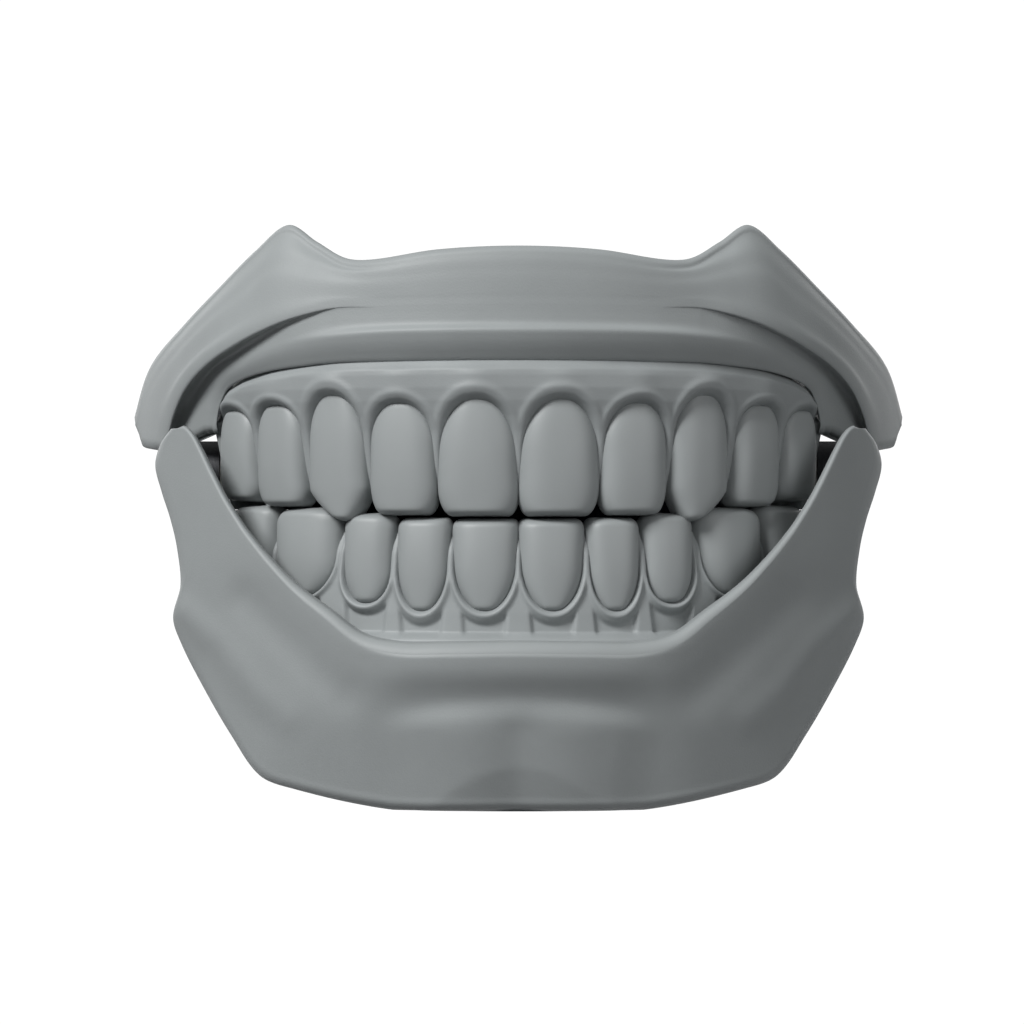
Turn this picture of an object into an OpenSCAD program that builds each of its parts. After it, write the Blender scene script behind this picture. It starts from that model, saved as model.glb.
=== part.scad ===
// Half-face jaw mask: two shells, bared gums and teeth, and a sprung lower jaw on two
// side hinges. Millimetres, +Z up, the grin looks along -Y, the origin is the wearer's mouth.

/* [Shells] */
// Wall thickness of both shells
shell_t = 4.5; // [3.5:0.1:4.8]
// Half width of the upper shell's plan ellipse
upper_a = 88; // [87.5:0.1:88.5]
// Depth of the upper shell's plan ellipse
upper_b = 105; // [103:1:106]
// Half width of the jaw shell's plan ellipse
jaw_a = 86; // [85.5:0.1:86.5]
// Depth of the jaw shell's plan ellipse
jaw_b = 84; // [82:1:85]
// How far both shells stand in front of the wearer's lips
shell_front = 32; // [31.5:0.1:33]
// Height of the flat underside of the chin below the mouth line
chin_drop = 59.3; // [58:0.1:60]
// Front-to-back depth of the chin's underside
chin_depth = 26; // [20:1:28]

/* [Teeth] */
// Half width of the upper tooth row's plan ellipse
arch_a = 76; // [75.5:0.1:76.5]
// Depth of the upper tooth row's plan ellipse
arch_b = 80; // [79:0.5:81]
// How far the upper tooth row stands in front of the wearer's lips
arch_front = 24; // [23.6:0.1:24.2]
// How far the lower tooth row sits behind the upper one
overjet = 1.5; // [1:0.1:2]
// Depth of a tooth from face to back
tooth_d = 7; // [6:0.1:7]
// Gap kept between neighbouring teeth
tooth_gap = 0.4; // [0.2:0.05:0.8]

/* [Hinges] */
// Hinge axis behind the wearer's lips
hinge_y = 24; // [23.5:0.1:24.5]
// Hinge axis above the mouth line
hinge_z = 8; // [7.5:0.1:8]
// Radius of the hinge pins
pin_r = 2.5; // [2:0.1:3]
// Running clearance round each pin
pin_play = 0.05; // [0.02:0.01:0.08]
// Radius of the jaw knuckles
knuckle_r = 7; // [6:0.1:7]

/* [Head strap] */
// Width of the webbing
strap_w = 16; // [12:0.5:16]
// Thickness of the webbing
strap_t = 1.6; // [1.2:0.1:1.8]
// Upward tilt of the strap towards the back of the head
strap_tilt = 9; // [7:0.5:10]
// Half of the head's breadth inside the strap
head_a = 78; // [76:0.5:79]
// Depth of the strap's curve round the back of the head
head_b = 95; // [80:1:105]

/* [Hidden] */

shell_grey = [0.56, 0.58, 0.58];
gum_grey = [0.52, 0.54, 0.55];
tooth_grey = [0.63, 0.65, 0.65];
frame_grey = [0.24, 0.25, 0.27];
steel = [0.7, 0.7, 0.72];
navy = [0.05, 0.06, 0.13];
foam = [0.12, 0.12, 0.13];
black = [0.08, 0.08, 0.09];

// Clear space left between pieces that lie against each other
gap = 0.3;
// The layers behind the tooth faces: gum plate, rigid frame and liner
gum_back = tooth_d + gap;
frame_back = gum_back + 4;
liner_back = frame_back + 3 + overjet + gap;
liner_t = 1;

// ---- curves ----

// A point on the plan ellipse of half width a and depth b whose front is at y0, moved in by d
function arc_point(a, b, y0, phi, d) = [(a - d) * sin(phi), y0 + d + (b - d) * (1 - cos(phi))];
function plan_y(x, a, b) = -shell_front + b * (1 - sqrt(1 - pow(x / a, 2)));
function plan_slope(x, a, b) = b * x / (a * a * sqrt(1 - pow(x / a, 2)));
// Unit vector square to the plan ellipse, pointing towards the wearer
function plan_in(x, a, b) = let (s = plan_slope(x, a, b)) [-s, 1] / norm([s, 1]);

// Smooth curve through the points of a list; before the first point it is mirrored in x
function mirrored(p) = [-p[0], p[1], p[2]];
function at(list, i) =
    i < 0 ? mirrored(list[-i]) : i < len(list) ? list[i] : 2 * list[i - 1] - list[i - 2];
function spline(a, b, c, d, t) =
    0.5 * (2 * b + (c - a) * t + (2 * a - 5 * b + 4 * c - d) * t * t
        + (3 * b - a - 3 * c + d) * pow(t, 3));
function along(list, u) =
    let (i = min(floor(u), len(list) - 2), t = u - i)
    spline(at(list, i - 1), at(list, i), at(list, i + 1), at(list, i + 2), t);
// The same, across a column of three-number points, with its ends held
function held(list, i) = list[max(0, min(i, len(list) - 1))];
function across(list, v) =
    let (i = min(floor(v), len(list) - 2), t = v - i)
    spline(held(list, i - 1), held(list, i), held(list, i + 1), held(list, i + 2), t);

// ---- upper shell: five rows of points [x, z, set back from the plan ellipse], centre to end ----

upper_top = [
    [0, 52.5, 6.2], [16, 51.9, 6.2], [28.8, 50.3, 6.5], [35.8, 51.6, 7.5], [42, 56, 8],
    [46.6, 58.2, 7.5], [53.4, 53.5, 6.5], [62, 46.1, 5.5], [69.8, 39.4, 4], [79, 31.1, 3], [84, 20.6, 2]
];
upper_brow = [
    [0, 46, 4.6], [15.5, 45.6, 4.6], [28, 45, 4.6], [36, 45.6, 4], [43, 47, 4], [49.5, 47.2, 4],
    [56.5, 42.5, 3], [64.5, 37.6, 2], [71.5, 32, 2], [77.5, 24, 3], [80, 15.4, 4]
];
upper_crease = [
    [0, 38.4, 4.4], [15, 38.2, 4.4], [28, 38.2, 4.2], [36.5, 40.2, 2.8], [43.5, 39.4, 1], [51, 37.2, 0.4],
    [58, 33.8, 0.2], [65, 29.6, 0.5], [70, 24.4, 2], [73.5, 18.5, 4], [74, 13.4, 5]
];
upper_groove = [
    [0, 35, 3], [15, 34.9, 3], [27.5, 34.6, 3.2], [36, 35, 3.6], [43, 35.5, 4.2], [49.5, 34, 4.8],
    [56, 31, 5.6], [62.5, 27, 7], [67, 22.5, 9], [70, 18.5, 10], [70.2, 15.8, 11]
];
upper_lip = [
    [0, 31.8, 4.8], [14.5, 31.7, 4.8], [27, 31.4, 4.8], [35, 31, 4.9], [42, 30.3, 5.1], [48.5, 29.6, 5.4],
    [54.5, 28.2, 5.8], [59, 26, 6.4], [62, 22, 7.6], [63, 18.8, 8.2], [63.2, 16.6, 8.6]
];
upper_rows = [upper_top, upper_brow, upper_crease, upper_groove, upper_lip];

// ---- jaw shell: the lip's edge and the outer edge, centre to tip, in matching pairs ----

jaw_lip = [
    [0, -27, 0], [14, -27, 0], [25, -26.6, 0], [33, -24.4, 0], [40, -19.6, 0], [46, -15, 0],
    [51, -9.8, 0], [55.5, -4.2, 0], [58, -0.7, 0], [60, 2.4, 0], [62, 5.9, 0], [63.7, 9, 0],
    [65.3, 12, 0], [67, 15, 0], [68.3, 17.2, 0], [69.4, 18.2, 0]
];
jaw_edge = [
    [0, -chin_drop, 13], [14, -chin_drop, 13], [26, -chin_drop, 12.5], [45.3, -55.9, 10],
    [52.6, -53.5, 8.5], [58.8, -45.5, 6.5], [65, -35.9, 4.6], [69.8, -27.4, 2.6], [71.7, -22, 1.4],
    [69.8, -15.2, 0.6], [70.6, -7.4, 0.2], [72.2, -1.4, 0], [74.4, 4.3, 0], [76.4, 9.4, 0],
    [75.2, 13.6, 0], [72, 17.4, 0]
];
// How far the outer edge is turned back towards the wearer
jaw_return = [
    chin_depth, chin_depth, chin_depth, 26, 25, 25, 25, 24, 23, 25, 23, 18, 13, 8, 5, 3
];
// The fold under the lip sets the chin back a little in the middle
fold_set = 2.5;
fold_w = 30;

// ---- surface points ----

function column(rows, u) = [for (r = rows) along(r, u)];
function surface_point(p, a, b) = [p[0], plan_y(p[0], a, b) + p[2], p[1]];
function signed(p, side) = [p[0] * side, p[1], p[2]];

// A closed section of the upper shell at place u, from the brow edge round the lip and back
function upper_section(u, side) =
    let (
        col = column(upper_rows, u),
        n = (len(upper_rows) - 1) * 2,
        face = [for (i = [0 : n]) across(col, i / 2)],
        front = [for (p = face) surface_point(p, upper_a, upper_b)],
        thin = u > 7 ? 1 - 0.55 * min(1, (u - 7) / 2) : 1,
        wall = [for (i = [0 : n]) shell_t * (i > n - 2 ? thin : 1)],
        back = [for (i = [0 : n])
            let (d = plan_in(face[i][0], upper_a, upper_b) * wall[i])
            [front[i][0] + d[0], front[i][1] + d[1], front[i][2]]],
        lip_rim = (front[n] + back[n]) / 2 - [0, 0, shell_t * 0.2],
        top_rim = (front[0] + back[0]) / 2 + [0, 0, shell_t * 0.2]
    )
    [for (p = concat(front, [lip_rim], [for (i = [n : -1 : 0]) back[i]], [top_rim])) signed(p, side)];

// Direction in the face's own plane from an outer point towards the middle of the jaw
function towards_middle(p) = let (v = [-p[0], -15 - p[2]]) v / norm(v);

// A closed section of the jaw shell at place u, from the lip round the outer edge and back
function jaw_section(u, side) =
    let (
        lip = along(jaw_lip, u),
        loose = along(jaw_edge, u),
        edge = [loose[0], max(loose[1], -chin_drop), loose[2]],
        set = fold_set * exp(-pow(lip[0] / fold_w, 2)),
        face = [
            lip,
            lip + (edge - lip) / 3 + [0, 0, set],
            lip + (edge - lip) * 2 / 3,
            edge
        ],
        front = [for (i = [0 : 6]) surface_point(across(face, i / 2), jaw_a, jaw_b)],
        corner = front[6],
        inward = towards_middle(corner),
        i0 = min(floor(u), len(jaw_return) - 2),
        reach = jaw_return[i0] + (jaw_return[i0 + 1] - jaw_return[i0]) * (u - i0),
        turned = [corner[0], corner[1] + reach, corner[2]],
        step = [inward[0], 0, inward[1]] * shell_t,
        back = [for (i = [0 : 5])
            let (d = plan_in(front[i][0], jaw_a, jaw_b) * shell_t)
            [front[i][0] + d[0], front[i][1] + d[1], front[i][2]]],
        bend = corner + step + [0, min(shell_t, reach * 0.7), 0]
    )
    [for (p = concat(front, [turned, turned + step, bend], [for (i = [5 : -1 : 0]) back[i]]))
        signed(p, side)];

// Skin a list of closed sections, each with m points, into one solid
module skin(sections) {
    m = len(sections[0]);
    n = len(sections);
    quads = [for (j = [0 : n - 2], i = [0 : m - 1])
        let (k = (i + 1) % m) [j * m + i, j * m + k, (j + 1) * m + k, (j + 1) * m + i]];
    sides = [for (q = quads, h = [0, 1]) h == 0 ? [q[0], q[2], q[1]] : [q[0], q[3], q[2]]];
    half = floor(m / 2);
    strip = [for (i = [0 : half - 2]) [i, i + 1, m - 2 - i, m - 1 - i]];
    near = [for (s = strip, h = [0, 1]) h == 0 ? [s[0], s[1], s[2]] : [s[0], s[2], s[3]]];
    base = (n - 1) * m;
    far = [for (f = near) [base + f[0], base + f[2], base + f[1]]];
    polyhedron(points = [for (s = sections) each s], faces = concat(sides, near, far));
}

module upper_shell() {
    last = len(upper_top) - 1;
    color(shell_grey)
    skin(concat(
        [for (k = [last * 3 : -1 : 1]) upper_section(k / 3, -1)],
        [for (k = [0 : last * 3]) upper_section(k / 3, 1)]
    ));
}

module lower_shell() {
    last = len(jaw_lip) - 1;
    color(shell_grey)
    skin(concat(
        [for (k = [last * 2 : -1 : 1]) jaw_section(k / 2, -1)],
        [for (k = [0 : last * 2]) jaw_section(k / 2, 1)]
    ));
}

// ---- layers that follow the tooth row ----

// A wall that follows the tooth row, from depth d to d + t behind the tooth faces
module arch_wall(d, t, end_phi, z0, z1, back = 0, steps = 24) {
    phis = [for (k = [-steps : steps]) k * end_phi / steps];
    face = [for (p = phis) arc_point(arch_a, arch_b, -arch_front + back, p, d)];
    rear = [for (p = phis) arc_point(arch_a, arch_b, -arch_front + back, -p, d + t)];
    translate([0, 0, z0])
    linear_extrude(z1 - z0)
    polygon(concat(face, rear));
}

gum_end = 53;
neck_end = 41;

module upper_gum() {
    color(gum_grey)
    union() {
        arch_wall(gum_back, 3.7, gum_end, 4, 36);
        arch_wall(0.8, gum_back + 2.9, neck_end, 24.3, 28.2);
    }
}

module lower_gum() {
    color(gum_grey)
    union() {
        arch_wall(gum_back, 3.7, gum_end, -34, -4, overjet);
        arch_wall(0.8, gum_back + 2.9, neck_end, -24, -20.3, overjet);
    }
}

// ---- teeth ----

// Along a tooth from root to tip: [place, width factor, depth factor, shift to the midline]
incisor_form = [
    [0, 0.42, 0.6], [0.05, 0.66, 0.8], [0.17, 0.87, 1], [0.4, 0.97, 1], [0.7, 1, 0.86],
    [0.9, 0.98, 0.68], [0.97, 0.92, 0.55], [1, 0.8, 0.35]
];
canine_form = [
    [0, 0.4, 0.6], [0.05, 0.64, 0.8], [0.17, 0.86, 1], [0.4, 0.98, 1], [0.7, 1, 0.9],
    [0.84, 0.9, 0.76, 0.5], [0.94, 0.56, 0.55, 1.4], [1, 0.2, 0.3, 1.8]
];
premolar_form = [
    [0, 0.5, 0.6], [0.05, 0.72, 0.8], [0.17, 0.9, 1], [0.4, 0.98, 1], [0.7, 1, 0.94],
    [0.9, 0.93, 0.8], [0.97, 0.76, 0.62], [1, 0.5, 0.4]
];

// Each tooth: [place along the row, width, tip height, root height, form]
upper_teeth = [
    [6.35, 16.4, -0.7, 24, incisor_form],
    [18.3, 14.2, -0.5, 23, incisor_form],
    [29.4, 14, -1.5, 24, canine_form],
    [40.4, 13.8, 1.1, 23, premolar_form],
    [50.7, 13, 2.3, 22, premolar_form]
];
lower_teeth = [
    [5.25, 13.7, -1.1, -20, incisor_form],
    [14.9, 11.2, -1, -20, incisor_form],
    [23.9, 11.6, -1.2, -19, premolar_form],
    [35.6, 17.4, -0.1, -18, premolar_form],
    [47.4, 13.5, 0.6, -17, premolar_form]
];

section_points = 12;
// How much narrower a tooth gets towards its back
back_taper = 0.3;

// One tooth, its face on the row's ellipse and its sides rounded
module tooth(data, side, set_back) {
    phi = data[0];
    half_w = (data[1] - tooth_gap) / 2;
    root = data[3];
    rise = data[2] - root;
    place = arc_point(arch_a, arch_b, -arch_front + set_back, phi, 0);
    turn = atan2(arch_b * sin(phi), arch_a * cos(phi));
    rings = [for (f = data[4]) [for (k = [0 : section_points - 1])
        let (
            w = 360 * k / section_points,
            cx = cos(w),
            sy = sin(w),
            shift = len(f) > 3 ? -f[3] : 0,
            x = shift + half_w * f[1] * sign(cx) * pow(abs(cx), 0.62) * (1 - back_taper * max(0, sy)),
            y = tooth_d / 2 * (0.5 + f[2] / 2 + f[2] * sign(sy) * pow(abs(sy), 0.72))
        )
        [x, y, root + rise * f[0]]]];
    ordered = rise < 0 ? [for (i = [len(rings) - 1 : -1 : 0]) rings[i]] : rings;
    n = len(ordered);
    m = section_points;
    walls = [for (j = [0 : n - 2], i = [0 : m - 1], h = [0, 1])
        let (k = (i + 1) % m)
        h == 0 ? [j * m + i, (j + 1) * m + k, j * m + k] : [j * m + i, (j + 1) * m + i, (j + 1) * m + k]];
    floor_face = [[for (i = [0 : m - 1]) i]];
    top_face = [[for (i = [m - 1 : -1 : 0]) (n - 1) * m + i]];
    color(tooth_grey)
    mirror([side < 0 ? 1 : 0, 0, 0])
    translate([place[0], place[1], 0])
    rotate([0, 0, turn])
    polyhedron(points = [for (r = ordered) each r], faces = concat(walls, floor_face, top_face));
}

module upper_tooth(i, side) { tooth(upper_teeth[i], side, 0); }
module lower_tooth(i, side) { tooth(lower_teeth[i], side, overjet); }

// ---- frames and hinges ----

frame_end = 60;
bracket_x = 59.6;
bracket_t = 2.3;
washer_t = 0.9;
knuckle_x = bracket_x + bracket_t + washer_t + 0.1;
knuckle_out = 67.6;
upper_band = [20, 33];
jaw_band = [-17, -7];
bracket_rear = 28.8;
// Rivets: shank, clearance, head radius and thickness, and the brackets' inner rivet ends
rivet_r = 1.5;
rivet_play = 0.05;
rivet_head_r = 2.6;
rivet_head_t = 1;
bracket_rivet_in = 52.7;
pin_head_r = 4.2;
pin_head_t = 2;
washer_r = 6;
// Arms that carry the strap's load back from the upper frame
arm_t = 3;
arm_h = 11;
// The jaw frame's feet, and the arms that rise from them to the knuckles
foot_x = 51;
foot_y = 16.5;
foot_d = 5;
jaw_arm_t = 2.1;
jaw_arm_half = 6;
arm_end = [75, 49.5];
arm_tail = 9;
anchor_rivet_y = arm_end[1] + 5.2;
anchor_rivets_z = [22.5, 28.5];
anchor_rivet_head_r = 2.4;
anchor_rivet_head_t = 0.85;
anchor_y = 65.5;
anchor_z = 24.8;

module both_sides() {
    children();
    mirror([1, 0, 0]) children();
}

module handed(side) {
    mirror([side < 0 ? 1 : 0, 0, 0]) children();
}

module rod_x(x0, x1, r, y, z) {
    translate([x0, y, z]) rotate([0, 90, 0]) cylinder(h = x1 - x0, r = r, $fn = 48);
}

// Plan of the bracket's foot, which fills the space beside the frame's end
module bracket_foot_plan() {
    polygon([
        [bracket_x + 0.1, 19.5], [55.2, 19.5], [57.1, 22.9], [59, 27], [bracket_x + 0.1, 28.5]
    ]);
}

rivet_places = [[25, 23.5], [25, 29.5]];

module hinge_bracket(side) {
    color(steel)
    handed(side)
    difference() {
        union() {
            translate([bracket_x, hinge_y - knuckle_r, hinge_z])
                cube([bracket_t, bracket_rear - hinge_y + knuckle_r, upper_band[1] - hinge_z]);
            rod_x(bracket_x, bracket_x + bracket_t, knuckle_r, hinge_y, hinge_z);
            translate([0, 0, upper_band[0]])
                linear_extrude(upper_band[1] - upper_band[0]) bracket_foot_plan();
        }
        rod_x(bracket_x - 1, bracket_x + bracket_t + 1, pin_r + 0.02, hinge_y, hinge_z);
        for (p = rivet_places)
            rod_x(50, 66, rivet_r + rivet_play, p[0], p[1]);
    }
}

module bracket_rivets() {
    face_x = bracket_x + bracket_t;
    color(steel)
    both_sides()
    for (p = rivet_places) {
        rod_x(bracket_rivet_in, face_x + 0.1, rivet_r, p[0], p[1]);
        rod_x(face_x + 0.05, face_x + rivet_head_t, rivet_head_r, p[0], p[1]);
        rod_x(bracket_rivet_in - rivet_head_t, bracket_rivet_in + 0.05, rivet_head_r, p[0], p[1]);
    }
}

module hinge_pin(side) {
    color(steel)
    handed(side)
    union() {
        rod_x(bracket_x - 0.1, knuckle_out - 1, pin_r, hinge_y, hinge_z);
        rod_x(bracket_x - pin_head_t, bracket_x - 0.05, pin_head_r, hinge_y, hinge_z);
    }
}

module hinge_washer(side) {
    color("white")
    handed(side)
    difference() {
        rod_x(bracket_x + bracket_t + 0.05, knuckle_x - 0.1, washer_r, hinge_y, hinge_z);
        rod_x(bracket_x, knuckle_x + 1, pin_r + 0.1, hinge_y, hinge_z);
    }
}

// Plan of the arm that carries the strap load from the frame's end to the anchor
module arm_plan() {
    polygon([
        [57.6, 30.5], [59.3, 34.5], arm_end, arm_end + [0, arm_tail],
        arm_end + [-arm_t, arm_tail], arm_end + [-arm_t, 1.4],
        [55.5, 34.2], [54.8, 31]
    ]);
}

module upper_frame() {
    color(frame_grey)
    difference() {
        union() {
            arch_wall(frame_back, 3, frame_end + 8, upper_band[0], upper_band[1]);
            both_sides()
            translate([0, 0, upper_band[0]]) linear_extrude(arm_h) arm_plan();
        }
        both_sides()
        for (p = rivet_places)
            rod_x(50, 66, rivet_r + rivet_play, p[0], p[1]);
        both_sides()
        for (z = anchor_rivets_z)
            rod_x(70, 80, rivet_r + rivet_play, anchor_rivet_y, z);
    }
}

module jaw_frame() {
    color(frame_grey)
    difference() {
        union() {
            arch_wall(frame_back, 3, frame_end - 4, jaw_band[0], jaw_band[1], overjet);
            both_sides() {
                translate([foot_x, foot_y, jaw_band[0]])
                    cube([knuckle_x + jaw_arm_t - foot_x, foot_d, jaw_band[1] - jaw_band[0]]);
                translate([knuckle_x, hinge_y - jaw_arm_half, jaw_band[0]])
                    cube([jaw_arm_t, 2 * jaw_arm_half, hinge_z - jaw_band[0]]);
                rod_x(knuckle_x, knuckle_out, knuckle_r, hinge_y, hinge_z);
            }
        }
        both_sides()
        rod_x(knuckle_x - 1, knuckle_out - 0.6, pin_r + pin_play, hinge_y, hinge_z);
    }
}

// ---- soft pieces ----

liner_end = 55;
elastic_place = [57.6, 18];
elastic_r = 1.2;
// Pads along the shells: half angle, depths behind the shell's front, lower edge and height
nose_pad_size = [22, 11.6, 23, 41.5, 8.5];
chin_pad_size = [20, shell_t + 11.6, shell_t + 18.6, -51, 17];
cheek_pad_size = [17, 8, 14];
cheek_pad_middle = [61.2, 47.4, 25.5];

module mouth_liner() {
    color(navy) arch_wall(liner_back, liner_t, liner_end, jaw_band[0], upper_band[1]);
}

module jaw_elastic(side) {
    color(black)
    handed(side)
    translate([elastic_place[0], elastic_place[1], jaw_band[1] + 0.1])
    cylinder(h = upper_band[0] - jaw_band[1] - 0.2, r = elastic_r, $fn = 24);
}

// A pad that follows a shell's plan ellipse of half width a and depth b
module curved_pad(a, b, size, steps = 12) {
    phis = [for (k = [-steps : steps]) k * size[0] / steps];
    face = [for (p = phis) arc_point(a, b, -shell_front, p, size[1])];
    rear = [for (p = phis) arc_point(a, b, -shell_front, -p, size[2])];
    color(foam) translate([0, 0, size[3]]) linear_extrude(size[4]) polygon(concat(face, rear));
}

module nose_pad() { curved_pad(upper_a, upper_b, nose_pad_size); }
module chin_pad() { curved_pad(jaw_a, jaw_b, chin_pad_size); }

// Foam pad on the inner side of the strap arm
module cheek_pad(side) {
    color(foam)
    handed(side)
    translate(cheek_pad_middle)
    rotate([0, 0, 45])
    cube(cheek_pad_size, center = true);
}

// ---- head strap ----

// Straight part of the strap on each side, and where the adjuster sits on it
straight = 50;
adjuster_at = 28;
adjuster_t = 5;
adjuster_l = 10;
// The anchor's bar that the strap's sewn end goes round, as [width, length] in plan
bar = [2.4, 2.8];
loop_play = 0.3;
// The anchor's plate, riveted to the arm: thickness, length, lower edge and height
plate = [1.6, 9, 19.5, 11.8];
anchor_ring = [8, 3.2];
strap_x = head_a - strap_t / 2;

// Put children in the strap's own tilted frame, with its origin at the anchor bars
module strap_frame() {
    translate([0, anchor_y, anchor_z]) rotate([strap_tilt, 0, 0]) children();
}

module strap_anchor(side) {
    slot_h = strap_w + 0.5;
    color(steel)
    handed(side)
    difference() {
        union() {
            translate([arm_end[0] + 0.1, arm_end[1] + 1.6, plate[2]]) cube([plate[0], plate[1], plate[3]]);
            strap_frame()
            translate([strap_x, -2.6, 0])
            difference() {
                cube([bar[0], anchor_ring[0], slot_h + anchor_ring[1]], center = true);
                translate([0, -0.2, 0]) cube([bar[0] + 1, bar[1], slot_h], center = true);
            }
        }
        for (z = anchor_rivets_z)
            rod_x(70, 80, rivet_r + rivet_play, anchor_rivet_y, z);
    }
}

module anchor_rivets() {
    inner_x = arm_end[0] - arm_t;
    outer_x = arm_end[0] + 1.7;
    color(steel)
    both_sides()
    for (z = anchor_rivets_z) {
        rod_x(inner_x - 0.1, outer_x + 0.1, rivet_r, anchor_rivet_y, z);
        rod_x(outer_x + 0.05, outer_x + 0.05 + anchor_rivet_head_t, anchor_rivet_head_r, anchor_rivet_y, z);
        rod_x(inner_x - 0.05 - anchor_rivet_head_t, inner_x - 0.05, anchor_rivet_head_r, anchor_rivet_y, z);
    }
}

// Plan of the webbing round the head, with its two sewn end loops
module strap_plan() {
    steps = 40;
    turns = [for (k = [0 : steps]) 180 * k / steps];
    outer = [for (t = turns) [head_a * cos(t), straight + head_b * sin(t)]];
    inner = [for (t = turns)
        [-(head_a - strap_t) * cos(t), straight + (head_b - strap_t) * sin(t)]];
    start = 2.5;
    polygon(concat(
        [[head_a, start]], outer, [[-head_a, start], [-head_a + strap_t, start]], inner,
        [[head_a - strap_t, start]]
    ));
    for (side = [-1, 1])
    translate([side * strap_x, 0])
    difference() {
        square([bar[0] + 2 * (loop_play + strap_t), bar[1] + 2 * (loop_play + strap_t)], center = true);
        square([bar[0] + 2 * loop_play, bar[1] + 2 * loop_play], center = true);
    }
}

module head_strap() {
    color(black)
    strap_frame()
    translate([0, 0, -strap_w / 2])
    linear_extrude(strap_w)
    strap_plan();
}

module strap_adjuster() {
    slot_t = strap_t + 0.6;
    slot_w = strap_w + 0.6;
    color(black)
    strap_frame()
    translate([strap_x, adjuster_at, 0])
    difference() {
        cube([adjuster_t, adjuster_l, slot_w + 3], center = true);
        cube([slot_t, adjuster_l + 2, slot_w], center = true);
    }
}

upper_shell();
lower_shell();
upper_gum();
lower_gum();
upper_frame();
jaw_frame();
upper_tooth(0, 1);  // upper_left_central_incisor
upper_tooth(1, 1);  // upper_left_lateral_incisor
upper_tooth(2, 1);  // upper_left_canine
upper_tooth(3, 1);  // upper_left_first_premolar
upper_tooth(4, 1);  // upper_left_second_premolar
upper_tooth(0, -1);  // upper_right_central_incisor
upper_tooth(1, -1);  // upper_right_lateral_incisor
upper_tooth(2, -1);  // upper_right_canine
upper_tooth(3, -1);  // upper_right_first_premolar
upper_tooth(4, -1);  // upper_right_second_premolar
lower_tooth(0, 1);  // lower_left_central_incisor
lower_tooth(1, 1);  // lower_left_lateral_incisor
lower_tooth(2, 1);  // lower_left_canine
lower_tooth(3, 1);  // lower_left_first_premolar
lower_tooth(4, 1);  // lower_left_second_premolar
lower_tooth(0, -1);  // lower_right_central_incisor
lower_tooth(1, -1);  // lower_right_lateral_incisor
lower_tooth(2, -1);  // lower_right_canine
lower_tooth(3, -1);  // lower_right_first_premolar
lower_tooth(4, -1);  // lower_right_second_premolar
hinge_bracket(1);  // hinge_bracket_left
hinge_bracket(-1);  // hinge_bracket_right
bracket_rivets();
hinge_pin(1);  // hinge_pin_left
hinge_pin(-1);  // hinge_pin_right
hinge_washer(1);  // hinge_washer_left
hinge_washer(-1);  // hinge_washer_right
mouth_liner();
jaw_elastic(1);  // jaw_elastic_left
jaw_elastic(-1);  // jaw_elastic_right
nose_pad();
cheek_pad(1);  // cheek_pad_left
cheek_pad(-1);  // cheek_pad_right
chin_pad();
strap_anchor(1);  // strap_anchor_left
strap_anchor(-1);  // strap_anchor_right
anchor_rivets();
head_strap();
strap_adjuster();
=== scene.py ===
"""Looks of the half-face jaw mask: latex shells, gums and teeth, the cloth liner, the foam pads,
the webbing strap, and the materials of the hardware. Shapes are in millimetres until add_mesh();
the camera, the lights and the floor are in metres."""
import math

import bpy
import numpy as np
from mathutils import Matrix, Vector


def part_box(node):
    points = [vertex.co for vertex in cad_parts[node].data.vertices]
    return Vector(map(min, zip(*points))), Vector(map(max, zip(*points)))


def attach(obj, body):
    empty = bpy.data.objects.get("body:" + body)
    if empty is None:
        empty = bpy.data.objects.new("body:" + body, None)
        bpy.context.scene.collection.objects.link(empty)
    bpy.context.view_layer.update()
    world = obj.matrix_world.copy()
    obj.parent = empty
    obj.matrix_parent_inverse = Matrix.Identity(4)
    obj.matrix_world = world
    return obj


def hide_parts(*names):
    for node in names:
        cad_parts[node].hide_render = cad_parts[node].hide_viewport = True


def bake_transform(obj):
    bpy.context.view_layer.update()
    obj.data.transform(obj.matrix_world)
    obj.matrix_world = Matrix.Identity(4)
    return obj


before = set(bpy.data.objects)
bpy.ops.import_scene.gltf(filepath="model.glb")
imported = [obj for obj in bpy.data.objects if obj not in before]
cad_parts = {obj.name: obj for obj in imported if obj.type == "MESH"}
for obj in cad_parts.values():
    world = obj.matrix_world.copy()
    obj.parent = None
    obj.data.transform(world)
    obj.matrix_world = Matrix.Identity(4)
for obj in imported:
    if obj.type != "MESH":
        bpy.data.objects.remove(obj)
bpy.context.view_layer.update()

MM = 0.001

# Sizes in millimetres. A and B are the half widths and depths of plan ellipses: those of the two
# shells, and that of the tooth row.
SHELL_T = 4.5
SHELL_FRONT = 32
UPPER_A, UPPER_B = 88, 105
JAW_A, JAW_B = 86, 84
ARCH_A, ARCH_B, ARCH_FRONT = 76, 80, 26.2
# How far behind the tooth row's curve the frames stand, and the lower teeth behind the upper ones
FRAME_BEHIND = 2.2
OVERJET = 1.5
# How far the lower shell reaches below the origin
CHIN_DROP = -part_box("lower_shell")[0].z / MM


# ---- camera, light and floor ----

CAMERA_AHEAD = 0.644
CAMERA_LENS = 110.7
# Sets the face's middle a little to the right of the picture's
CAMERA_SHIFT = -0.0063


def make_camera():
    """Level view of the face, from straight in front of it."""
    data = bpy.data.cameras.new("camera")
    data.sensor_width = 36
    data.lens = CAMERA_LENS
    data.shift_x = CAMERA_SHIFT
    camera = bpy.data.objects.new("camera", data)
    camera.location = (0, -CAMERA_AHEAD, 0)
    camera.rotation_euler = (math.radians(90), 0, 0)
    bpy.context.scene.collection.objects.link(camera)
    bpy.context.scene.camera = camera


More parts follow.
